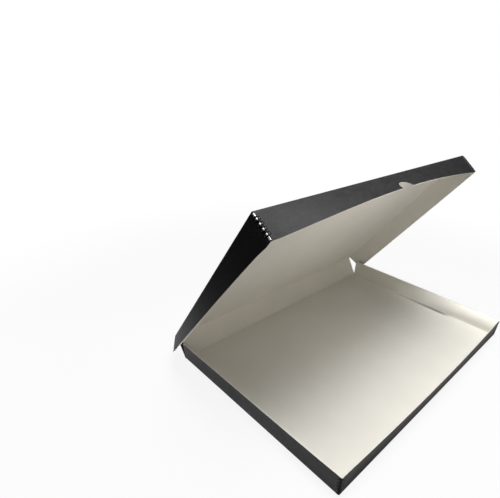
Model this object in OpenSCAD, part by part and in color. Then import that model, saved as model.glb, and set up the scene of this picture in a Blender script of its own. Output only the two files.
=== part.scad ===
// Archive box with a hinged lid, folded from lined board and held at its front corners by metal stays.
// Millimetres. The origin lies under the middle of the closed box, the front faces -Y, the hinge is at +Y.

/* [Box] */
// Width of the closed box across the lid
box_w = 495; // [250:1:600]
// Depth of the closed box from the lid's front to the spine
box_d = 343; // [200:1:450]
// Height of the closed box
box_h = 44.5; // [42:0.5:80]

/* [Board] */
// Thickness of the board
board = 1.5; // [1:0.1:2]
// Clearance between the walls of the lid and those of the tray
fit_gap = 1.6; // [1.2:0.1:3]
// Gap left in a fold that moves
fold_gap = 0.3; // [0.2:0.05:0.6]

/* [Walls] */
// Height of the lid's walls
lid_wall_h = 38; // [25:0.5:40]
// Height of the tray's walls
tray_wall_h = 35; // [20:0.5:38]
// Degrees the lid's front wall springs outwards halfway between its stays
lid_front_spring = 25.5; // [0:0.5:30]
// Degrees the lid's left wall springs outwards at its free back end
lid_left_spring = 41; // [0:0.5:50]
// Degrees the lid's right wall springs outwards at its free back end
lid_right_spring = 18; // [0:0.5:50]
// Degrees the tray's front wall springs outwards halfway between its stays
tray_front_spring = 6; // [0:0.5:8]
// Degrees the tray's left wall springs outwards at its free back end
tray_left_spring = 5; // [0:0.5:8]
// Degrees the tray's right wall springs outwards at its free back end
tray_right_spring = 2; // [0:0.5:8]
// Length of the slanted cut at the free back ends of the lid's side walls
lid_end_cut = 16; // [4:0.5:50]
// Height left of the lid's side walls at the end of their slanted cut
lid_end_h = 3; // [2:0.5:20]
// Cut corner at the free back ends of the tray's side walls
tray_end_cut = 2; // [1:0.5:8]
// Radius of the thumb notch in the lid's front wall
notch_r = 13.5; // [8:0.5:18]
// Distance of the score line on the lid from its front
score_from_front = 6; // [4:0.5:15]

/* [Corner stays] */
// Thickness of the metal
metal = 0.4; // [0.3:0.05:0.6]
// Width of each leg up to its scalloped edge
stay_leg = 6.4; // [5:0.1:9]
// Distance from one scallop to the next
stay_pitch = 6.35; // [5:0.05:8]
// Plain end of the stay above and below its scallops
stay_end = 1.6; // [1:0.1:3]
// Diameter of the pressed rings
ring_d = 4.2; // [3:0.1:4.6]

/* [Resting pose] */
// Degrees the spine leans back from upright
spine_lean = 31; // [5:1:60]
// Degrees the lid is raised from the closed position
lid_rise = 53; // [20:1:120]

/* [Hidden] */
$fn = 32;
wall_steps = 20;
end_steps = 5;
fold_steps = 4;
tray_w = box_w - 2 * (board + fit_gap);
fold_y = box_d / 2 - board / 2;
spine_run = box_h - board;
tray_front = -box_d / 2 + board + fit_gap;
tray_back = fold_y - board / 2 - fold_gap;
lid_front = -box_d + board / 2;
lid_back = -board / 2 - fold_gap;
scallop_r = stay_pitch / 2;
stay_reach = stay_leg + scallop_r;
ring_groove = metal * 0.6;
ring_x = stay_leg * 0.55;

// Spring of a wall held by stays at both ends, as a share of its largest angle
function held_spring(s) = 4 * s * (1 - s);

// Spring of a wall held by a stay at its start only
function free_spring(s) = pow(s, 0.6);

// Places along a wall held at both ends where its section is taken
function held_stations(length) = concat(
    [0],
    [for (i = [0:wall_steps]) stay_reach + (length - 2 * stay_reach) * i / wall_steps],
    [length]);

// Places along a wall held at its start where its section is taken, with steps of their own over the cut end
function free_stations(length, end_cut) = concat(
    [0],
    [for (i = [0:wall_steps]) stay_reach + (length - end_cut - stay_reach) * i / wall_steps],
    [for (j = [1:end_steps]) length - end_cut + end_cut * j / end_steps]);

// Share of the way between two places, from 0 to 1
function share(x, start, end) = min(1, max(0, (x - start) / (end - start)));

// Height of a wall at a distance before its end, with a cut of that length and drop taken off
function height_at(height, before_end, end_cut, end_drop) =
    height - end_drop * (1 - share(before_end, 0, end_cut));

// Section of the board through a fold and its wall, turned outwards about the inner edge of the fold
function wall_section(height, angle) = concat(
    [[0, 0]],
    [for (i = [0:fold_steps]) let (t = 270 - (90 - angle) * i / fold_steps) board * [cos(t), sin(t)]],
    [for (y = [-board, 0]) [y * cos(angle) - height * sin(angle), y * sin(angle) + height * cos(angle)]]);

// Solid through a row of like sections, each given as [place along X, corners]
module through_sections(rows) {
    last = len(rows) - 1;
    corners = len(rows[0][1]);
    polyhedron(
        points = [for (r = rows) for (c = r[1]) [r[0], c[0], c[1]]],
        faces = concat(
            [for (k = [1:corners - 2]) [k + 1, k, 0]],
            [for (i = [0:last - 1]) for (k = [0:corners - 1])
                each let (a = corners * i + k, b = corners * i + (k + 1) % corners)
                    [[b, a + corners, a], [b + corners, a + corners, b]]],
            [for (k = [1:corners - 2]) corners * last * [1, 1, 1] + [0, k, k + 1]]));
}

// Fold and wall along X that are held by stays at both ends
module held_wall(length, height, spring) {
    through_sections([for (x = held_stations(length))
        [x, wall_section(height, spring * held_spring(share(x, stay_reach, length - stay_reach)))]]);
}

// Fold and wall along X that are held at their start and spring free towards their cut end
module free_wall(length, height, spring, end_cut, end_drop) {
    through_sections([for (x = free_stations(length, end_cut))
        [x, wall_section(height_at(height, length - x, end_cut, end_drop),
            spring * free_spring(share(x, stay_reach, length)))]]);
}

// Rounded upright corner where two walls meet, in the quarter of -X and -Y
module corner_edge(height) {
    rotate([0, 0, 180])
        rotate_extrude(angle = 90, $fn = 4 * fold_steps)
            polygon(concat(
                [for (i = [0:fold_steps]) let (t = 90 * i / fold_steps) board * [sin(t), -cos(t)]],
                [[board, height], [0, height]]));
}

// Floor with a front wall and two side walls, folded from one sheet and open at the back, with the springs
// of the side walls given as [right, left]
module folded_board(width, front, back, wall_h, front_spring, side_springs, end_cut, end_drop) {
    half = width / 2 - board;
    length = back - front - board;
    height = wall_h - board;
    translate([-half, front + board, 0])
        cube([2 * half, length, board]);
    translate([-half, front + board, board])
        held_wall(2 * half, height, front_spring);
    for (side = [0, 1])
        mirror([side, 0, 0])
            translate([half, front + board, board]) {
                rotate([0, 0, 90])
                    free_wall(length, height, side_springs[side], end_cut, end_drop);
                mirror([1, 0, 0])
                    corner_edge(height);
            }
}

// One leg of a corner stay, along X from the bend, with its scallops and pressed rings
module stay_leg_plate(height) {
    scallops = floor((height - 2 * stay_end) / stay_pitch);
    start = (height - scallops * stay_pitch) / 2;
    difference() {
        translate([0, -board - metal, 0])
            union() {
                cube([stay_leg, metal, height]);
                for (i = [0:scallops - 1])
                    translate([stay_leg - scallop_r / 2, 0, start + stay_pitch * (i + 0.5)])
                        rotate([-90, 0, 0])
                            cylinder(r = scallop_r, h = metal);
            }
        for (i = [0:scallops - 1])
            translate([ring_x, -board - metal - 1, start + stay_pitch * (i + 0.5)])
                rotate([-90, 0, 0])
                    difference() {
                        cylinder(d = ring_d, h = 1 + ring_groove);
                        cylinder(d = ring_d * 0.5, h = 1 + ring_groove);
                    }
    }
}

// Metal stay bent around a corner whose upright inner edge is the Z axis
module corner_stay(height) {
    for (leg = [0, 1])
        mirror([leg, -leg, 0])
            stay_leg_plate(height);
    intersection() {
        difference() {
            cylinder(r = board + metal, h = height);
            translate([0, 0, -1])
                cylinder(r = board, h = height + 2);
        }
        translate([-board - metal, -board - metal, 0])
            cube([board + metal, board + metal, height]);
    }
}

// Stay at the left front corner of a folded board
module stay_on(width, front, wall_h) {
    translate([-width / 2 + board, front + board, board + stay_end])
        corner_stay(wall_h - board - 2 * stay_end);
}

// Places a piece drawn in the closed lid, about the lid's fold, in the resting pose
module on_lid() {
    translate([0, fold_y + spine_run * sin(spine_lean), board / 2 + spine_run * cos(spine_lean)])
        rotate([-lid_rise, 0, 0])
            translate([0, 0, board / 2])
                mirror([0, 0, 1])
                    children();
}

module tray() {
    color("#2b2a28")
        folded_board(tray_w, tray_front, tray_back, tray_wall_h,
            tray_front_spring, [tray_right_spring, tray_left_spring], tray_end_cut, tray_end_cut);
}

module spine() {
    color("#2b2a28")
        translate([-tray_w / 2, fold_y, board / 2])
            rotate([-spine_lean, 0, 0]) {
                translate([0, -board / 2, 0])
                    cube([tray_w, board, spine_run]);
                for (fold = [0, spine_run])
                    translate([0, 0, fold])
                        rotate([0, 90, 0])
                            cylinder(d = board, h = tray_w);
            }
}

module lid() {
    color("#2b2a28")
        on_lid()
            difference() {
                folded_board(box_w, lid_front, lid_back, lid_wall_h,
                    lid_front_spring, [lid_right_spring, lid_left_spring],
                    lid_end_cut, lid_wall_h - lid_end_h);
                translate([0, lid_front + board, board])
                    rotate([lid_front_spring, 0, 0])
                        translate([0, -lid_wall_h / 2, lid_wall_h - board])
                            rotate([-90, 0, 0])
                                cylinder(r = notch_r, h = lid_wall_h, $fn = 64);
                translate([-box_w / 2, lid_front + score_from_front, 0])
                    rotate([0, 90, 0])
                        cylinder(r = board / 5, h = box_w);
            }
}

module tray_stay_left() {
    color("#1b1b1c")
        stay_on(tray_w, tray_front, tray_wall_h);
}

module tray_stay_right() {
    color("#1b1b1c")
        mirror([1, 0, 0])
            stay_on(tray_w, tray_front, tray_wall_h);
}

module lid_stay_left() {
    color("#1b1b1c")
        on_lid()
            stay_on(box_w, lid_front, lid_wall_h);
}

module lid_stay_right() {
    color("#1b1b1c")
        on_lid()
            mirror([1, 0, 0])
                stay_on(box_w, lid_front, lid_wall_h);
}

tray();
spine();
lid();
tray_stay_left();
tray_stay_right();
lid_stay_left();
lid_stay_right();
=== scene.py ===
"""Archive box with a hinged lid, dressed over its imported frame: lined board, folds, metal corner
stays and a stage."""

import math

import bmesh
import bpy
from bpy.props import FloatProperty, FloatVectorProperty, IntProperty, PointerProperty
from mathutils import Matrix, Vector


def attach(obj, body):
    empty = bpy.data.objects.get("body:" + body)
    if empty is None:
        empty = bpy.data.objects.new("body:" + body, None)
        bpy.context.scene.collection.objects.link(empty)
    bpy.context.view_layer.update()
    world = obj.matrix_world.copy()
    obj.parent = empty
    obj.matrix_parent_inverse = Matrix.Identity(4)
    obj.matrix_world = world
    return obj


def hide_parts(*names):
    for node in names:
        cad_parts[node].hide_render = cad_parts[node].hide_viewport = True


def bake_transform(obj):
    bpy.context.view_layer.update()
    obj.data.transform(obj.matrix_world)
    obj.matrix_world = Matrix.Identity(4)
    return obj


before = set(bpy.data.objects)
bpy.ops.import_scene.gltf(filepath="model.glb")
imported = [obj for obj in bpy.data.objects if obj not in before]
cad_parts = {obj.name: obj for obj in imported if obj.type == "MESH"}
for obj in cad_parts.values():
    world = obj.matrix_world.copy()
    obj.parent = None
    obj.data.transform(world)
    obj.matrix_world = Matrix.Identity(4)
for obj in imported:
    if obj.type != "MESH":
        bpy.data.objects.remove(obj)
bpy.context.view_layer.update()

bl_info = {
    "name": "Archive Box",
    "version": (1, 0, 0),
    "blender": (4, 5, 0),
    "location": "3D View > Sidebar > Archive Box",
    "description": "Builds a lined board archive box with a hinged lid and metal corner stays",
    "category": "Object",
}

QUARTER = math.pi / 2
WHITE = (1.0, 1.0, 1.0, 1.0)

# Places closer than this are one place, and corners closer than this are merged
SAME_PLACE = 1e-7
SAME_CORNER = 1e-6

# Edges that turn more than this are shown sharp
BOARD_SHARP = math.radians(35)
STAY_SHARP = math.radians(60)

# Rows and columns of faces in the board
FOLD_ROWS = 4
FOOT_ROWS = 3
WALL_ROWS = 4
SIDE_ROWS = 28
CUT_ROWS = 5
HALF_FRONT_COLUMNS = 16
NOTCH_COLUMNS = 20
STRIP_COLUMNS = 8
STRIP_BEND_ROWS = 6

# Height of the narrow rows at the foot of a wall
FOOT_STEP = 0.0013

# Power with which the spring of a side wall grows towards its free end
FREE_POWER = 0.6

# Finish of the faces that the covering paper is turned over
WRAPPED = 3

# Painted shadow in the gutter at the foot of the tray's right wall: its columns and its shade as
# shares of its width, and the places along the wall where the shade grows, ends and is gone
GUTTER_COLUMNS = (1.0, 0.5)
GUTTER_SHADE = 0.6
GUTTER_GROWS = (0.07, -0.05)
GUTTER_ENDS = -0.06
GUTTER_GONE = -0.085

# Painted highlight line above the gutter: its heights over the fold, and the places where it grows
HIGHLIGHT_LINE_HEIGHTS = (0.002, 0.0032)
HIGHLIGHT_LINE_GROWS = (0.07, 0.03)

# Pressed rings of the stays, in radii of a ring, and the bumps along the bend, in pitches
DOME_EDGE = 0.4
GROOVE_SPAN = 0.7
BUMP_RADIUS = 0.26

# Paint of the stays lightened towards bare metal: a lighter grey on the flat, what the glint
# strength adds there, painted highlights on the domes, painted glints from the foot to the top of a
# bump, and painted glint streaks on the plain ends out to so many thicknesses of metal from the
# bend
FLAT_GREYING = 0.11
FLAT_GLINT = 0.05
DOME_HIGHLIGHT = 0.31
BUMP_GLINT = (0.1, 0.45)
END_GLINT = 0.9
END_REACH = 3

# Way that a left front corner points, seen from above, and faces across the bend of its stay
CORNER_WAY = math.radians(225)
STAY_BEND_COLUMNS = 8

# Length of the bend at mid-thickness as a share of that outside, and of a skin as one of the metal
BEND_MIDDLE = 0.9
STAY_SKIN = 0.9

# Half the width of the floor, and the distances over which it fades to white, with their strengths
FLOOR_REACH = 6.0
FLOOR_FADE = (0.4, 1.0, 0.88, 1.0)

# Parts of the floor that gloss sees white: the places where each begins and is full, with strengths
GLOSS_RIGHT = (0.2, 0.5, 0.0, 0.6)
GLOSS_FRONT = (-0.165, -0.2)
GLOSS_LEFT = (-0.2, -0.26)
GLOSS_LEFT_OUTER = (-0.5, -0.4)
GLOSS_LEFT_BACK = (0.45, 0.35)
GLOSS_LEFT_STRENGTH = (0.12, 0.24, 0.12, 0.5)

# Colours of the floor under lamps, as other rays and as the camera see it
FLOOR_DIM = (0.2, 0.2, 0.2, 1.0)
FLOOR_PALE = (0.9, 0.9, 0.9, 1.0)

# Lamps of the studio, with powers in watts and spreads in degrees
LAMPS = (
    dict(name="high", place=(0.1, -0.05, 1.8), target=(0.03, -0.05, 0.05),
         size=(0.6, 0.6), power=7.2),
    dict(name="over", place=(0.04, 0.0, 1.1), target=(0.0, -0.05, 0.05),
         size=(0.6, 0.6), power=7.2),
    dict(name="over_left", place=(-0.1, -0.45, 1.1), target=(-0.06, -0.1, 0.05),
         size=(0.4, 0.4), power=1.8),
    dict(name="low_front", place=(-0.41, -1.66, 0.25), target=(0.03, -0.02, 0.1),
         size=(0.4, 0.4), power=5.9, tint=(1.0, 0.94, 0.87)),
    dict(name="lid_glow", place=(-0.15, -1.6, 0.06), target=(-0.02, -0.02, 0.31),
         size=(0.3, 0.3), power=0.14, tint=(1.0, 0.94, 0.88), spread=15.0),
    dict(name="low_left", place=(-1.2, 0.45, 0.06), target=(-0.25, 0.05, 0.02),
         size=(0.6, 0.05), power=0.58, spread=20.0, gloss=False),
)

# Camera: its place, the way it looks, the way to its right, and its lens
EYE = (-0.48608, -0.29501, 0.43371)
LOOK = (0.59153, 0.60325, -0.53496)
RIGHT = (0.72616, -0.68695, 0.02831)
SENSOR_WIDTH = 36.0
FOCAL_LENGTH = 26.995
LENS_SHIFT = (-0.0506, 0.1123)
CLIP_START = 0.01


def length(name, description, default):
    """Property for a length in metres."""
    return FloatProperty(
        name=name, description=description, default=default, min=0.0, precision=5, unit="LENGTH")


def angle(name, description, degrees):
    """Property for an angle."""
    return FloatProperty(
        name=name, description=description, default=math.radians(degrees), subtype="ANGLE")


def portion(name, description, default):
    """Property for a share from 0 to 1."""
    return FloatProperty(
        name=name, description=description, default=default, min=0.0, max=1.0, subtype="FACTOR")


def colour(name, description, default):
    """Property for a colour."""
    return FloatVectorProperty(
        name=name, description=description, default=default, size=3, min=0.0, max=1.0,
        subtype="COLOR")


class ArchiveBoxBoard(bpy.types.PropertyGroup):
    """Sizes of the folded board."""

    thickness: length("Board", "Thickness of the board", 0.0015)
    fold_radius: length("Fold radius", "Outer radius of a folded edge", 0.0018)
    tray_width: length("Tray width", "Width of the tray over its side walls", 0.4888)
    tray_front: FloatProperty(
        name="Tray front", description="Place of the tray's front face", default=-0.1684,
        unit="LENGTH")
    tray_back: length("Tray back", "Place of the tray's back edge", 0.1697)
    tray_wall: length("Tray wall", "Height of the tray's walls", 0.035)
    tray_front_spring: angle(
        "Tray front spring", "Outward spring of the tray's front wall between its stays", 6.0)
    tray_left_spring: angle(
        "Tray left spring", "Outward spring of the tray's left wall at its free end", 5.0)
    tray_right_spring: angle(
        "Tray right spring", "Outward spring of the tray's right wall at its free end", 2.0)
    tray_cut: length(
        "Tray end cut", "Cut corner at the free ends of the tray's side walls", 0.002)
    lid_width: length("Lid width", "Width of the lid over its side walls", 0.495)
    lid_depth: length("Lid depth", "Distance from the lid's fold to its front face", 0.34225)
    lid_gap: length(
        "Lid gap", "Distance from the lid's fold to the back edge of the lid's board", 0.00105)
    lid_wall: length("Lid wall", "Height of the lid's walls", 0.038)
    lid_front_spring: angle(
        "Lid front spring", "Outward spring of the lid's front wall between its stays", 25.5)
    lid_left_spring: angle(
        "Lid left spring", "Outward spring of the lid's left wall at its free end", 41.0)
    lid_right_spring: angle(
        "Lid right spring", "Outward spring of the lid's right wall at its free end", 18.0)
    lid_cut: length(
        "Lid end cut", "Length of the slanted cut at the free ends of the lid's side walls", 0.016)
    lid_left_end: length(
        "Lid left end", "Height left of the lid's left wall at the end of its cut", 0.003)
    lid_right_end: length(
        "Lid right end", "Height left of the lid's right wall at the end of its cut", 0.022)
    notch: length("Thumb notch", "Radius of the thumb notch in the lid's front wall", 0.0135)
    held: length("Held length", "Straight length of a wall under a stay", 0.009575)
    fold_place: FloatVectorProperty(
        name="Back fold", description="Point on the fold between tray and spine",
        default=(0.0, 0.17075, 0.00075), size=3, subtype="XYZ", unit="LENGTH")
    spine_run: length("Spine", "Distance between the two folds of the spine", 0.043)
    spine_lean: angle("Spine lean", "Angle of the spine back from upright", 31.0)
    lid_rise: angle("Lid rise", "Angle of the lid above the closed position", 53.0)
    turn_in: length(
        "Turn-in", "Width of the paper turned over the left end of the spine", 0.005)
    gutter: length(
        "Gutter", "Width of the shaded line at the foot of the tray's right wall", 0.013)
    fold_reach: length(
        "Fold reach", "Length of board that turns with a fold, on each side of it", 0.004)


class ArchiveBoxStay(bpy.types.PropertyGroup):
    """Sizes of the metal corner stays."""

    metal: length("Metal", "Thickness of the stay", 0.0004)
    leg: length("Leg", "Width of a leg up to its scalloped edge", 0.0064)
    pitch: length("Pitch", "Distance from one scallop to the next", 0.00635)
    end: length("Plain end", "Bare wall above and below a stay", 0.0016)
    ring: length("Ring", "Diameter of the pressed rings", 0.0042)
    ring_place: length("Ring place", "Distance of the rings from the inner corner", 0.00352)
    groove: length("Groove", "Depth of the pressed rings", 0.00022)
    dome: length("Dome", "Height of the domes inside the rings", 0.00028)
    pinch: length("Pinch", "Height of the bumps along the bend", 0.0003)
    # Strengths of the painted glints on the bends of the stays: none on the tray's, full on the
    # lid's
    tray_glint: portion(
        "Tray rub", "How far the paint is rubbed off the bends of the tray's stays", 0.0)
    lid_glint: portion(
        "Lid rub", "How far the paint is rubbed off the bends of the lid's stays", 1.0)
    columns: IntProperty(
        name="Columns", description="Faces across one leg of a stay", default=18, min=6)
    rows: IntProperty(
        name="Rows", description="Faces along one pitch of a stay", default=14, min=6)


class ArchiveBoxFinish(bpy.types.PropertyGroup):
    """Colours of the finishes."""

    paper: colour("Paper", "Black covering paper", (0.024, 0.024, 0.025))
    lining: colour("Lining", "Cream lining", (0.845, 0.827, 0.768))
    core: colour("Core", "Cut edge of the board", (0.9, 0.88, 0.82))
    paint: colour("Paint", "Black paint of the stays", (0.006, 0.006, 0.0065))
    # Colour of the painted glints and highlights on the stays
    glint_colour: colour("Bare metal", "Metal where the paint is rubbed off", (0.8, 0.8, 0.79))


class ArchiveBoxSettings(bpy.types.PropertyGroup):
    """All sizes and colours of the archive box."""

    board: PointerProperty(type=ArchiveBoxBoard)
    stay: PointerProperty(type=ArchiveBoxStay)
    finish: PointerProperty(type=ArchiveBoxFinish)


def settings():
    """The sizes and colours in use."""
    return bpy.context.scene.archive_box


class Shade:
    """A value in a material. Arithmetic on it adds Math nodes."""

    def __init__(self, finish, socket):
        self.finish = finish
        self.socket = socket

    def _math(self, operation, first, second):
        return self.finish.node("ShaderNodeMath", {"operation": operation}, {0: first, 1: second})

    def __add__(self, other):
        return self._math("ADD", self, other)

    __radd__ = __add__

    def __sub__(self, other):
        return self._math("SUBTRACT", self, other)

    def __rsub__(self, other):
        return self._math("SUBTRACT", other, self)

    def __mul__(self, other):
        return self._math("MULTIPLY", self, other)

    __rmul__ = __mul__


class Nodes:
    """The nodes of one material or of the world."""

    def __init__(self, tree):
        self.tree = tree

    def node(self, kind, setup=None, inputs=None, output=0):
        """Adds a node, sets it up, fills its sockets and returns one of its outputs."""
        made = self.tree.nodes.new(kind)
        for key, value in (setup or {}).items():
            setattr(made, key, value)
        for key, value in (inputs or {}).items():
            self.feed(made.inputs[key], value)
        return Shade(self, made.outputs[output])

    def feed(self, socket, value):
        """Links or sets one socket."""
        if isinstance(value, Shade):
            self.tree.links.new(value.socket, socket)
        else:
            socket.default_value = value

    def place(self):
        """Object coordinates."""
        return self.node("ShaderNodeTexCoord", output="Object")

    def mark(self, name):
        """Value painted on the corners of a piece."""
        return self.node("ShaderNodeAttribute", {"attribute_name": name}, output="Fac")

    def noise(self, place, scale, detail=3.0, roughness=0.5, stretch=None):
        """Noise from 0 to 1 at so many grains to the metre."""
        if stretch:
            place = self.node("ShaderNodeMapping", inputs={"Vector": place, "Scale": stretch})
        return self.node("ShaderNodeTexNoise", inputs={
            "Vector": place, "Scale": scale, "Detail": detail, "Roughness": roughness})

    def ranged(self, value, low, high, start=0.0, end=1.0):
        """Moves a value from one range to another, clamped at both ends."""
        return self.node("ShaderNodeMapRange", {"interpolation_type": "SMOOTHSTEP"}, {
            "Value": value, "From Min": low, "From Max": high, "To Min": start, "To Max": end})

    def mixed(self, amount, first, second):
        """Mixes two colours."""
        return self.node(
            "ShaderNodeMix", {"data_type": "RGBA"}, {0: amount, 6: first, 7: second}, output=2)

    def bump(self, height, strength, distance):
        """Normal raised by a height from 0 to 1."""
        return self.node("ShaderNodeBump", inputs={
            "Height": height, "Strength": strength, "Distance": distance})


def tone(rgb, strength=1.0):
    """Colour with alpha, brightened or darkened by a factor."""
    return (rgb[0] * strength, rgb[1] * strength, rgb[2] * strength, 1.0)


def new_finish(name):
    """Adds a material and returns it with its nodes and its shader."""
    material = bpy.data.materials.new(name)
    material.use_nodes = True
    nodes = Nodes(material.node_tree)
    return material, nodes, material.node_tree.nodes["Principled BSDF"]


def finish_of(name, maker):
    """The material of that name, made at its first use."""
    return bpy.data.materials.get(name) or maker(name)


def black_paper(name):
    """Matt black covering paper with a fine felt grain."""
    paper = settings().finish.paper
    material, n, shader = new_finish(name)
    place = n.place()
    grain = n.noise(place, scale=900.0, detail=4.0, roughness=0.6)
    fibre = n.noise(place, scale=420.0, detail=3.0, roughness=0.6, stretch=(1.0, 0.35, 1.0))
    cloud = n.noise(place, scale=38.0, detail=3.0, roughness=0.55)
    dimple = n.noise(place, scale=240.0, detail=3.0, roughness=0.65)
    speck = n.ranged(grain * 0.35 + fibre * 0.25 + dimple * 0.25 + cloud * 0.15, 0.34, 0.66)
    felt = grain * 0.25 + fibre * 0.15 + dimple * 0.6
    n.feed(shader.inputs["Base Color"], n.mixed(speck, tone(paper, 0.5), tone(paper, 1.55)))
    n.feed(shader.inputs["Roughness"], n.ranged(fibre, 0.3, 0.7, 0.42, 0.58))
    n.feed(shader.inputs["Normal"], n.bump(felt, strength=0.4, distance=0.0006))
    shader.inputs["Specular IOR Level"].default_value = 0.28
    return material


def cream_lining(name):
    """Smooth cream paper on the inside, faintly clouded, with a painted shadow along the foot of
    the tray's right wall and a painted highlight line on the wall above it.
    """
    lining = settings().finish.lining
    material, n, shader = new_finish(name)
    place = n.place()
    cloud = n.noise(place, scale=14.0, detail=4.0, roughness=0.55)
    fleck = n.noise(place, scale=700.0, detail=3.0, roughness=0.6)
    clouded = n.ranged(cloud * 0.6 + fleck * 0.4, 0.32, 0.68)
    # Painted shadow along the gutter where the mark is above zero, painted highlight line on the
    # wall where it is below zero
    painted_shade_and_highlight = n.mark("painted_shade_and_highlight")
    plain = n.mixed(clouded, tone(lining, 0.975), tone(lining, 1.02))
    with_painted_shadow = n.mixed(n.ranged(painted_shade_and_highlight, 0.0, 1.0, 0.0, 0.9), plain, tone(lining, 0.25))
    with_painted_highlight = n.mixed(n.ranged(painted_shade_and_highlight, 0.0, -1.0), with_painted_shadow, tone(lining, 1.14))
    n.feed(shader.inputs["Base Color"], with_painted_highlight)
    n.feed(shader.inputs["Roughness"], n.ranged(fleck, 0.3, 0.7, 0.5, 0.62))
    n.feed(shader.inputs["Normal"], n.bump(fleck, strength=0.2, distance=0.00008))
    shader.inputs["Specular IOR Level"].default_value = 0.3
    return material


def board_core(name):
    """Cut edge of the board, pale and fibrous."""
    core = settings().finish.core
    material, n, shader = new_finish(name)
    fibre = n.noise(n.place(), scale=900.0, detail=4.0, roughness=0.6)
    speck = n.ranged(fibre, 0.3, 0.7)
    n.feed(shader.inputs["Base Color"], n.mixed(speck, tone(core, 0.86), tone(core, 1.06)))
    n.feed(shader.inputs["Normal"], n.bump(fibre, strength=0.4, distance=0.0001))
    shader.inputs["Roughness"].default_value = 0.85
    return material


def stay_paint(name):
    """Black paint, lightened towards bare metal by the mark on its corners: painted glints along
    the bends and at the plain ends, painted highlights on the domes, and a lighter grey on the
    flat.
    """
    finish = settings().finish
    material, n, shader = new_finish(name)
    place = n.place()
    scuff = n.noise(place, scale=1600.0, detail=4.0, roughness=0.6)
    ripple = n.noise(place, scale=600.0, detail=2.0)
    glinted = n.ranged(n.mark("painted_glint") * (scuff * 0.4 + 0.8), 0.0, 1.0)
    n.feed(shader.inputs["Base Color"], n.mixed(glinted, tone(finish.paint), tone(finish.glint_colour)))
    n.feed(shader.inputs["Metallic"], glinted * 0.3)
    n.feed(shader.inputs["Roughness"], n.ranged(scuff, 0.3, 0.7, 0.26, 0.4))
    n.feed(shader.inputs["Normal"], n.bump(ripple, strength=0.15, distance=0.0001))
    shader.inputs["Specular IOR Level"].default_value = 0.06
    return material


def board_finishes():
    """Outside, inside and cut edge of the board."""
    return [
        finish_of("black_paper", black_paper),
        finish_of("cream_lining", cream_lining),
        finish_of("board_core", board_core),
    ]


def wrapped_finishes():
    """Finishes of the board, then both sides of the end that the paper is turned over."""
    paper = finish_of("black_paper", black_paper)
    return board_finishes() + [paper, paper]


def wrap_end(bm, half):
    """Marks the faces at the left end of a strip that the covering paper is turned over."""
    for face in bm.faces:
        if face.calc_center_median().x < settings().board.turn_in - half:
            face.material_index = WRAPPED


def strip_places(half):
    """Columns of a strip across the box, with its wrapped end."""
    return [-half] + evenly(settings().board.turn_in - half, half, STRIP_COLUMNS)


def new_piece(name, bm, finishes, sharp=BOARD_SHARP):
    """Turns a bmesh into an object at the origin, with its open borders kept as sharp edges."""
    mesh = bpy.data.meshes.new(name)
    bm.edges.index_update()
    border = [e.index for e in bm.edges if e.is_boundary]
    bm.to_mesh(mesh)
    bm.free()
    for material in finishes:
        mesh.materials.append(material)
    mesh.polygons.foreach_set("use_smooth", [True] * len(mesh.polygons))
    mesh.set_sharp_from_angle(angle=sharp)
    for index in border:
        mesh.edges[index].use_edge_sharp = True
    piece = bpy.data.objects.new(name, mesh)
    bpy.context.collection.objects.link(piece)
    return piece


def thicken(piece, thickness):
    """Gives a skin its thickness inwards and returns the modifier."""
    solid = piece.modifiers.new("Board", "SOLIDIFY")
    solid.thickness = thickness
    solid.offset = -1.0
    solid.use_even_offset = True
    solid.use_quality_normals = True
    return solid


def board_piece(name, bm, finishes):
    """Piece of board from its outer skin, with the lining inside and the cut edge on its rim."""
    piece = new_piece(name, bm, finishes)
    solid = thicken(piece, settings().board.thickness)
    solid.material_offset = 1
    solid.material_offset_rim = 2
    return piece


def freeze(piece):
    """Applies the modifiers of a piece to its mesh."""
    shown = piece.evaluated_get(bpy.context.evaluated_depsgraph_get())
    final = bpy.data.meshes.new_from_object(shown)
    rough = piece.data
    piece.modifiers.clear()
    piece.data = final
    final.name = piece.name
    bpy.data.meshes.remove(rough)


def evenly(start, end, steps):
    """Places from start to end, both included."""
    return [start + (end - start) * i / steps for i in range(steps + 1)]


def share_of(value, start, end):
    """Share of the way between two places, from 0 to 1."""
    return min(1.0, max(0.0, (value - start) / (end - start)))


def sheet(bm, across, along):
    """Flat grid in the XY plane with its columns and rows at the given places."""
    made = bmesh.ops.create_grid(
        bm, x_segments=len(across) - 1, y_segments=len(along) - 1, size=1.0)["verts"]
    for axis, places in ((0, across), (1, along)):
        for v in made:
            rank = round((v.co[axis] + 1.0) / 2.0 * (len(places) - 1))
            v.co[axis] = places[rank]
    return made


def edges_at(bm, axis, place):
    """Edges that lie at one place on an axis."""
    return [e for e in bm.edges if all(abs(v.co[axis] - place) < SAME_PLACE for v in e.verts)]


def of_kind(geometry, kind):
    """The vertices or the edges in what an operator returns."""
    return [g for g in geometry if isinstance(g, kind)]


def face_outwards(bm, face, outwards):
    """Points all faces one way, the way in which the given face looks outwards."""
    bmesh.ops.recalc_face_normals(bm, faces=bm.faces[:])
    if face.normal.dot(outwards) < 0:
        bmesh.ops.reverse_faces(bm, faces=bm.faces[:])


def fold_up(bm, edges, centre, axis, turn, rise):
    """Folds a wall up from a row of edges."""
    spun = bmesh.ops.spin(
        bm, geom=edges, cent=centre, axis=axis, angle=turn, steps=FOLD_ROWS, use_duplicate=False)
    top = of_kind(spun["geom_last"], bmesh.types.BMEdge)
    wall_step = (rise - FOOT_ROWS * FOOT_STEP) / WALL_ROWS
    for step in [FOOT_STEP] * FOOT_ROWS + [wall_step] * WALL_ROWS:
        grown = bmesh.ops.extrude_edge_only(bm, edges=top)["geom"]
        top = of_kind(grown, bmesh.types.BMEdge)
        bmesh.ops.translate(bm, verts=of_kind(grown, bmesh.types.BMVert), vec=(0.0, 0.0, step))


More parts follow.
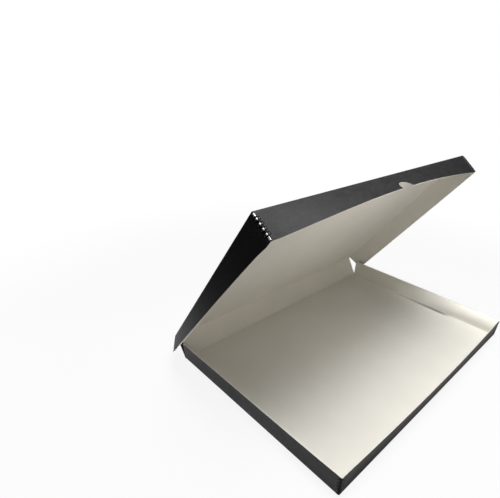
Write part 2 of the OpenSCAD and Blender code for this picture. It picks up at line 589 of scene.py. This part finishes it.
def floor_columns(half, notch):
    """Columns of a floor between its side walls, with those of the thumb notch and the gutter."""
    board = settings().board
    arch = [0.0]
    if notch:
        arch = [notch * math.cos(math.pi * (1 - part)) for part in evenly(0.0, 1.0, NOTCH_COLUMNS)]
    left = evenly(-half + board.held, arch[0], HALF_FRONT_COLUMNS)[:-1]
    right = evenly(arch[-1], half - board.held, HALF_FRONT_COLUMNS)[1:]
    gutter = [half - board.gutter * part for part in GUTTER_COLUMNS]
    return [-half] + sorted(left + arch + right + gutter) + [half]


def floor_rows(near, back, cut):
    """Rows of a floor from its front fold to its back edge, with those of the cut ends."""
    along = evenly(near + settings().board.held, back - cut, SIDE_ROWS)[:-1]
    return [near] + along + evenly(back - cut, back, CUT_ROWS)


def held_spring(part):
    """Spring of a wall held at both ends, as a share of its largest."""
    return 4 * part * (1 - part)


def free_spring(part):
    """Spring of a wall held at its start only, as a share of its largest."""
    return part ** FREE_POWER


def turn_wall(v, wall, top, axis, inner, side, spring):
    """Sets the height of a point on a fold or wall and turns it outwards about the inner edge of
    the fold."""
    board = settings().board
    radius, thick = board.fold_radius, board.thickness
    if v.co.z > radius:
        v.co.z = radius + (v.co.z - radius) * (top - radius) / (wall - radius)
        bent = 1.0
    else:
        bent = math.acos(max(-1.0, min(1.0, (radius - v.co.z) / radius))) / QUARTER
    out, up = (v.co[axis] - inner) * side, v.co.z - thick
    c, s = math.cos(spring * bent), math.sin(spring * bent)
    v.co[axis] = inner + side * (out * c + up * s)
    v.co.z = thick + up * c - out * s


def folded_board(width, front, back, wall, front_spring, side_springs, cut, drops, notch=0.0):
    """Skin of a floor with a front wall and two side walls, folded from one sheet and open at the
    back. The springs of the side walls and the drops of their cut ends are (right, left)."""
    board = settings().board
    radius, thick, held = board.fold_radius, board.thickness, board.held
    half = width / 2 - radius
    near = front + radius
    rise = wall - radius
    bm = bmesh.new()
    sheet(bm, floor_columns(half, notch), floor_rows(near, back, cut))
    flat = set(bm.verts)
    fold_up(bm, edges_at(bm, 1, near), (0.0, near, radius), (1.0, 0.0, 0.0), -QUARTER, rise)
    front_wall = [v for v in bm.verts if v not in flat]
    known = set(bm.verts)
    for side in (-1, 1):
        floor_edges = [e for e in edges_at(bm, 0, side * half) if all(v in flat for v in e.verts)]
        fold_up(bm, floor_edges, (side * half, 0.0, radius), (0.0, 1.0, 0.0), -side * QUARTER, rise)
    side_walls = [v for v in bm.verts if v not in known]
    for v in front_wall:
        x = v.co.x
        top = wall - math.sqrt(max(0.0, notch * notch - x * x)) if notch else wall
        spring = front_spring * held_spring(share_of(x, -half + held, half - held))
        turn_wall(v, wall, top, 1, front + thick, -1, spring)
    for v in side_walls:
        side, pick = (1, 0) if v.co.x > 0 else (-1, 1)
        top = wall - drops[pick] * (1 - share_of(back - v.co.y, 0.0, cut))
        spring = side_springs[pick] * free_spring(share_of(v.co.y, near + held, back))
        turn_wall(v, wall, top, 0, side * (width / 2 - thick), side, spring)
    for side in (-1, 1):
        upright = [
            e for e in edges_at(bm, 0, side * half)
            if all(v.co.y < near + SAME_PLACE for v in e.verts)
            and any(v not in flat for v in e.verts)]
        bmesh.ops.spin(
            bm, geom=upright, cent=(side * half, near, 0.0), axis=(0.0, 0.0, 1.0),
            angle=side * QUARTER, steps=FOLD_ROWS, use_duplicate=False)
    bmesh.ops.remove_doubles(bm, verts=bm.verts[:], dist=SAME_CORNER)
    lowest = min(bm.faces, key=lambda f: f.calc_center_median().z)
    face_outwards(bm, lowest, Vector((0.0, 0.0, -1.0)))
    return bm


def paint_gutter_shade(bm, width):
    """Marks the lining with a painted shadow on the floor along the foot of the tray's right wall
    and a painted highlight line on the wall above it."""
    board = settings().board
    mark = bm.verts.layers.float.new("painted_shade_and_highlight")
    edge = width / 2 - board.fold_radius
    low, high = HIGHLIGHT_LINE_HEIGHTS
    for v in bm.verts:
        x, y, z = v.co
        if x > edge - board.gutter * GUTTER_SHADE and z < SAME_CORNER:
            if y > GUTTER_ENDS:
                v[mark] = share_of(y, *GUTTER_GROWS)
            else:
                v[mark] = share_of(y, GUTTER_GONE, GUTTER_ENDS)
        elif x > edge and low < z - board.fold_radius < high:
            v[mark] = -share_of(y, *HIGHLIGHT_LINE_GROWS)


def lid_hinge():
    """Point on the fold between spine and lid."""
    board = settings().board
    lean = board.spine_lean
    along = Vector((0.0, math.sin(lean), math.cos(lean)))
    return Vector(board.fold_place) + board.spine_run * along


def into_lid(bm):
    """Moves what is drawn in the closed lid, the tray's way up, to the raised lid, with its faces
    still outwards."""
    board = settings().board
    place = (Matrix.Translation(lid_hinge()) @ Matrix.Rotation(-board.lid_rise, 4, "X")
             @ Matrix.Translation((0.0, 0.0, board.thickness / 2))
             @ Matrix.Diagonal((1.0, 1.0, -1.0, 1.0)))
    bmesh.ops.transform(bm, matrix=place, verts=bm.verts[:])
    bmesh.ops.reverse_faces(bm, faces=bm.faces[:])


def fold_strip(name, half, hinge, way_in, way_out, reach_in, reach_out):
    """Board bent round a fold. The ways run along the board in the YZ plane, with its inside on
    their left."""
    board = settings().board
    radius, thick = board.fold_radius, board.thickness
    inside_in = Vector((-way_in[1], way_in[0]))
    inside_out = Vector((-way_out[1], way_out[0]))
    off = radius - thick / 2
    det = inside_in[0] * inside_out[1] - inside_in[1] * inside_out[0]
    centre = Vector((
        off * (inside_out[1] - inside_in[1]) / det, off * (inside_in[0] - inside_out[0]) / det))
    start = -way_in * reach_in - inside_in * thick / 2
    bend = centre - inside_in * radius
    bend_end = centre - inside_out * radius
    end = way_out * reach_out - inside_out * thick / 2
    hub = Vector((hinge[1], hinge[2]))
    bm = bmesh.new()
    for v in sheet(bm, strip_places(half), [0.0, 1.0]):
        y, z = hub + (bend if v.co.y > 0.5 else start)
        v.co = (v.co.x, y, z)
    edge = [e for e in bm.edges
            if all((Vector(v.co[1:]) - hub - bend).length < SAME_PLACE for v in e.verts)]
    turn = math.atan2(det, inside_in.dot(inside_out))
    spun = bmesh.ops.spin(
        bm, geom=edge, cent=(0.0, *(hub + centre)), axis=(1.0, 0.0, 0.0), angle=turn,
        steps=STRIP_BEND_ROWS, use_duplicate=False)
    last = of_kind(spun["geom_last"], bmesh.types.BMEdge)
    grown = bmesh.ops.extrude_edge_only(bm, edges=last)["geom"]
    bmesh.ops.translate(
        bm, verts=of_kind(grown, bmesh.types.BMVert), vec=(0.0, *(end - bend_end)))
    bm.faces.ensure_lookup_table()
    face_outwards(bm, bm.faces[0], Vector((0.0, *-(inside_in + inside_out))))
    wrap_end(bm, half)
    piece = board_piece(name, bm, wrapped_finishes())
    freeze(piece)
    return piece


class ARCHIVEBOX_OT_tray(bpy.types.Operator):
    """Fold the tray from lined board"""

    bl_idname = "archive_box.tray"
    bl_label = "Tray"

    def execute(self, context):
        board = context.scene.archive_box.board
        bm = folded_board(
            board.tray_width, board.tray_front, board.tray_back, board.tray_wall,
            board.tray_front_spring, (board.tray_right_spring, board.tray_left_spring),
            board.tray_cut, (board.tray_cut, board.tray_cut))
        # Painted shadow and painted highlight line at the foot of the right wall
        paint_gutter_shade(bm, board.tray_width)
        piece = board_piece("tray_board", bm, board_finishes())
        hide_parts("tray")
        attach(piece, "tray")
        return {"FINISHED"}


class ARCHIVEBOX_OT_lid(bpy.types.Operator):
    """Fold the lid from lined board, with its thumb notch, and raise it"""

    bl_idname = "archive_box.lid"
    bl_label = "Lid"

    def execute(self, context):
        board = context.scene.archive_box.board
        drops = (board.lid_wall - board.lid_right_end, board.lid_wall - board.lid_left_end)
        bm = folded_board(
            board.lid_width, -board.lid_depth, -board.lid_gap, board.lid_wall,
            board.lid_front_spring, (board.lid_right_spring, board.lid_left_spring),
            board.lid_cut, drops, board.notch)
        into_lid(bm)
        piece = board_piece("lid_board", bm, board_finishes())
        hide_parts("lid")
        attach(piece, "lid")
        return {"FINISHED"}


class ARCHIVEBOX_OT_spine(bpy.types.Operator):
    """Make the spine and the two folds that join it to the tray and the lid"""

    bl_idname = "archive_box.spine"
    bl_label = "Spine"

    def execute(self, context):
        board = context.scene.archive_box.board
        half = board.tray_width / 2
        reach = board.fold_reach
        fold, hinge = Vector(board.fold_place), lid_hinge()
        lean, rise = board.spine_lean, board.lid_rise
        back, up = Vector((1.0, 0.0)), Vector((math.sin(lean), math.cos(lean)))
        forward = Vector((-math.cos(rise), math.sin(rise)))
        behind = Vector((up[1], -up[0])) * board.thickness / 2
        bm = bmesh.new()
        for v in sheet(bm, strip_places(half), [reach, board.spine_run - reach]):
            y, z = Vector((fold[1], fold[2])) + up * v.co.y + behind
            v.co = (v.co.x, y, z)
        bm.faces.ensure_lookup_table()
        face_outwards(bm, bm.faces[0], Vector((0.0, *behind)))
        wrap_end(bm, half)
        spine = board_piece("spine_board", bm, wrapped_finishes())
        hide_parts("spine")
        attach(spine, "spine")
        tray_gap = fold[1] - board.tray_back
        back_fold = fold_strip("back_fold", half, fold, back, up, tray_gap, reach)
        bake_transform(back_fold)
        lid_fold = fold_strip("lid_fold", half, hinge, up, forward, reach, board.lid_gap)
        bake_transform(lid_fold)
        return {"FINISHED"}


def stay_edge(height, stay, count, start):
    """Width of a leg at a height, out to its scalloped edge."""
    scallop = stay.pitch / 2
    if start < height < start + count * stay.pitch:
        off = (height - start) % stay.pitch - scallop
        bulge = math.sqrt(max(0.0, scallop * scallop - off * off))
        return max(stay.leg, stay.leg - scallop / 2 + bulge)
    return stay.leg


def stay_relief(along, height, stay, count, start, glint_strength):
    """Height of the pressed relief on a stay and how far its paint is lightened towards bare metal,
    as painted glints and highlights or a lighter grey, at a place on the flat metal."""
    step = round((height - start) / stay.pitch - 0.5)
    relief, painted_glint = 0.0, 0.0
    # Lighter grey on the flat away from the bend; next to the bend the paint stays plain black as
    # painted shade
    if along > stay.ring_place - glint_strength * stay.ring / 4:
        painted_glint = FLAT_GREYING + FLAT_GLINT * glint_strength
    if 0 <= step < count:
        off = height - start - (step + 0.5) * stay.pitch
        ring = math.hypot(along - stay.ring_place, off) / (stay.ring / 2)
        # Painted highlight on the dome, and plain black paint in the groove around it as painted
        # shade
        if ring < DOME_EDGE:
            relief = stay.dome * math.sqrt(1 - (ring / DOME_EDGE) ** 2)
            painted_glint = DOME_HIGHLIGHT
        elif ring < DOME_EDGE + GROOVE_SPAN:
            relief = -stay.groove * math.sin(math.pi * (ring - DOME_EDGE) / GROOVE_SPAN)
            painted_glint = 0.0
        # Painted glint on the bump along the bend
        bump = math.hypot(along, off) / (BUMP_RADIUS * stay.pitch)
        if bump < 1.0:
            relief += stay.pinch * (1 - bump * bump) ** 2
            painted_glint = max(painted_glint, glint_strength * share_of(1.0 - bump, *BUMP_GLINT))
    # Painted glint streak on each plain end
    elif along < stay.metal * END_REACH:
        painted_glint = END_GLINT * glint_strength
    return relief, painted_glint


def corner_stay(bm, height, base, glint_strength):
    """Scalloped metal strip bent round a corner whose inner edge stands on the base point."""
    stay = settings().stay
    count = int((height - 2 * stay.end) / stay.pitch)
    start = (height - count * stay.pitch) / 2
    outer = settings().board.thickness + stay.metal
    bend = outer * QUARTER / 2
    across = [-bend - u for u in evenly(1.0, 0.0, stay.columns)[:-1]]
    across += evenly(-bend, bend, STAY_BEND_COLUMNS)
    across += [bend + u for u in evenly(0.0, 1.0, stay.columns)[1:]]
    # Mark of the painted glints, painted highlights and lighter grey on the paint
    glint_layer = bm.verts.layers.float.new("painted_glint")
    for v in sheet(bm, across, evenly(0.0, height, int(height / stay.pitch * stay.rows))):
        u, z = v.co.x, v.co.y
        side = 1 if u > 0 else -1
        leg = max(0.0, abs(u) - bend)
        along = abs(u) * BEND_MIDDLE
        if leg:
            leg *= stay_edge(z, stay, count, start)
            along = leg + bend
        relief, v[glint_layer] = stay_relief(along, z, stay, count, start, glint_strength)
        turn = CORNER_WAY + side * min(1.0, abs(u) / bend) * QUARTER / 2
        normal = Vector((math.cos(turn), math.sin(turn), 0.0))
        way = Vector((1.0, 0.0, 0.0)) if side > 0 else Vector((0.0, 1.0, 0.0))
        v.co = Vector(base) + normal * (outer + relief) + way * leg + Vector((0.0, 0.0, z))
    bm.faces.ensure_lookup_table()
    middle = bm.faces[len(bm.faces) // 2]
    face_outwards(bm, middle, middle.calc_center_median() - Vector(base))


class ARCHIVEBOX_OT_stays(bpy.types.Operator):
    """Bend the four metal stays round the front corners of the tray and the lid"""

    bl_idname = "archive_box.stays"
    bl_label = "Corner stays"

    def execute(self, context):
        board = context.scene.archive_box.board
        stay = context.scene.archive_box.stay
        thick = board.thickness
        paint = finish_of("stay_paint", stay_paint)
        # Each body with the strength of the painted glints on its stays
        for body, width, front, wall, glint_strength in (
                ("tray", board.tray_width, board.tray_front, board.tray_wall, stay.tray_glint),
                ("lid", board.lid_width, -board.lid_depth, board.lid_wall, stay.lid_glint)):
            base = (-width / 2 + thick, front + thick, thick + stay.end)
            for side in ("left", "right"):
                bm = bmesh.new()
                corner_stay(bm, wall - thick - 2 * stay.end, base, glint_strength)
                if side == "right":
                    bmesh.ops.scale(bm, vec=(-1.0, 1.0, 1.0), verts=bm.verts[:])
                    bmesh.ops.reverse_faces(bm, faces=bm.faces[:])
                if body == "lid":
                    into_lid(bm)
                piece = new_piece(f"{body}_corner_stay_{side}", bm, [paint], STAY_SHARP)
                thicken(piece, stay.metal * STAY_SKIN)
                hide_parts(f"{body}_stay_{side}")
                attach(piece, body)
        return {"FINISHED"}


def softbox(name, place, target, size, power, tint=WHITE[:3], spread=180.0, gloss=True):
    """Rectangular lamp that faces a point."""
    lamp = bpy.data.lights.new(name, "AREA")
    lamp.shape = "RECTANGLE"
    lamp.size, lamp.size_y = size
    lamp.energy = power
    lamp.color = tint
    lamp.spread = math.radians(spread)
    holder = bpy.data.objects.new(name, lamp)
    holder.location = place
    holder.rotation_euler = (Vector(target) - Vector(place)).to_track_quat("-Z", "Y").to_euler()
    holder.visible_glossy = gloss
    bpy.context.collection.objects.link(holder)


def white_floor(name):
    """Pale floor that shows white, to gloss only near the box, and keeps the shadow of the box."""
    material, n, _ = new_finish(name)
    place = n.place()
    ray = n.node("ShaderNodeLightPath", output="Is Camera Ray")
    gloss = n.node("ShaderNodeLightPath", output="Is Glossy Ray")
    away = n.node("ShaderNodeVectorMath", {"operation": "LENGTH"}, {0: place}, output="Value")
    x = n.node("ShaderNodeSeparateXYZ", inputs={0: place}, output="X")
    y = n.node("ShaderNodeSeparateXYZ", inputs={0: place}, output="Y")
    right = n.ranged(x, *GLOSS_RIGHT)
    front = n.ranged(y, *GLOSS_FRONT)
    left = n.ranged(x, *GLOSS_LEFT) * n.ranged(x, *GLOSS_LEFT_OUTER)
    left = left * n.ranged(y, *GLOSS_LEFT_BACK) * n.ranged(y, *GLOSS_LEFT_STRENGTH)
    sheen = 1.0 - (1.0 - right) * (1.0 - front) * (1.0 - left)
    white = ray * n.ranged(away, *FLOOR_FADE) + gloss * sheen
    matt = n.node("ShaderNodeBsdfDiffuse", inputs={"Color": n.mixed(ray, FLOOR_DIM, FLOOR_PALE)})
    glow = n.node("ShaderNodeEmission", inputs={"Color": WHITE, "Strength": 1.0})
    shown = n.node("ShaderNodeMixShader", inputs={0: white, 1: matt, 2: glow})
    n.feed(material.node_tree.nodes["Material Output"].inputs["Surface"], shown)
    return material


def white_world(name):
    """World that is white where the camera sees it and gives no light."""
    world = bpy.data.worlds.new(name)
    world.use_nodes = True
    n = Nodes(world.node_tree)
    background = world.node_tree.nodes["Background"]
    n.feed(background.inputs["Color"], WHITE)
    n.feed(background.inputs["Strength"], n.node("ShaderNodeLightPath", output="Is Camera Ray"))
    return world


def new_camera(name):
    """Camera at the view of the open box from its left front corner."""
    lens = bpy.data.cameras.new(name)
    lens.sensor_width = SENSOR_WIDTH
    lens.lens = FOCAL_LENGTH
    lens.shift_x, lens.shift_y = LENS_SHIFT
    lens.clip_start = CLIP_START
    look = Vector(LOOK).normalized()
    right = Vector(RIGHT)
    right = (right - look * right.dot(look)).normalized()
    turn = Matrix((right, right.cross(look), -look)).transposed()
    camera = bpy.data.objects.new(name, lens)
    camera.matrix_world = Matrix.Translation(EYE) @ turn.to_4x4()
    bpy.context.collection.objects.link(camera)
    return camera


class ARCHIVEBOX_OT_stage(bpy.types.Operator):
    """Lay the floor, hang the lamps and set the camera"""

    bl_idname = "archive_box.stage"
    bl_label = "Stage"

    def execute(self, context):
        scene = context.scene
        scene.view_settings.view_transform = "Standard"
        bm = bmesh.new()
        bmesh.ops.create_grid(bm, x_segments=1, y_segments=1, size=FLOOR_REACH)
        floor = new_piece("floor", bm, [white_floor("white_floor")])
        scene.world = white_world("studio")
        for lamp in LAMPS:
            softbox(**lamp)
        scene.camera = new_camera("camera")
        return {"FINISHED"}


class ARCHIVEBOX_PT_panel(bpy.types.Panel):
    """Lists the steps of the archive box"""

    bl_idname = "ARCHIVEBOX_PT_panel"
    bl_label = "Archive Box"
    bl_space_type = "VIEW_3D"
    bl_region_type = "UI"
    bl_category = "Archive Box"

    def draw(self, context):
        for step in STEPS:
            self.layout.operator(step.bl_idname)
        sizes = context.scene.archive_box
        for group in (sizes.board, sizes.stay, sizes.finish):
            box = self.layout.box()
            for name in group.__annotations__:
                box.prop(group, name)


STEPS = (
    ARCHIVEBOX_OT_tray, ARCHIVEBOX_OT_lid, ARCHIVEBOX_OT_spine, ARCHIVEBOX_OT_stays,
    ARCHIVEBOX_OT_stage)
GROUPS = (ArchiveBoxBoard, ArchiveBoxStay, ArchiveBoxFinish, ArchiveBoxSettings)
CLASSES = GROUPS + STEPS + (ARCHIVEBOX_PT_panel,)


def register():
    """Registers the classes and the settings."""
    for cls in CLASSES:
        bpy.utils.register_class(cls)
    bpy.types.Scene.archive_box = PointerProperty(type=ArchiveBoxSettings)


def unregister():
    """Removes the settings and the classes."""
    del bpy.types.Scene.archive_box
    for cls in reversed(CLASSES):
        bpy.utils.unregister_class(cls)


def main():
    """Builds the box on its stage."""
    register()
    bpy.ops.archive_box.tray()
    bpy.ops.archive_box.lid()
    bpy.ops.archive_box.spine()
    bpy.ops.archive_box.stays()
    bpy.ops.archive_box.stage()


if __name__ == "__main__":
    main()
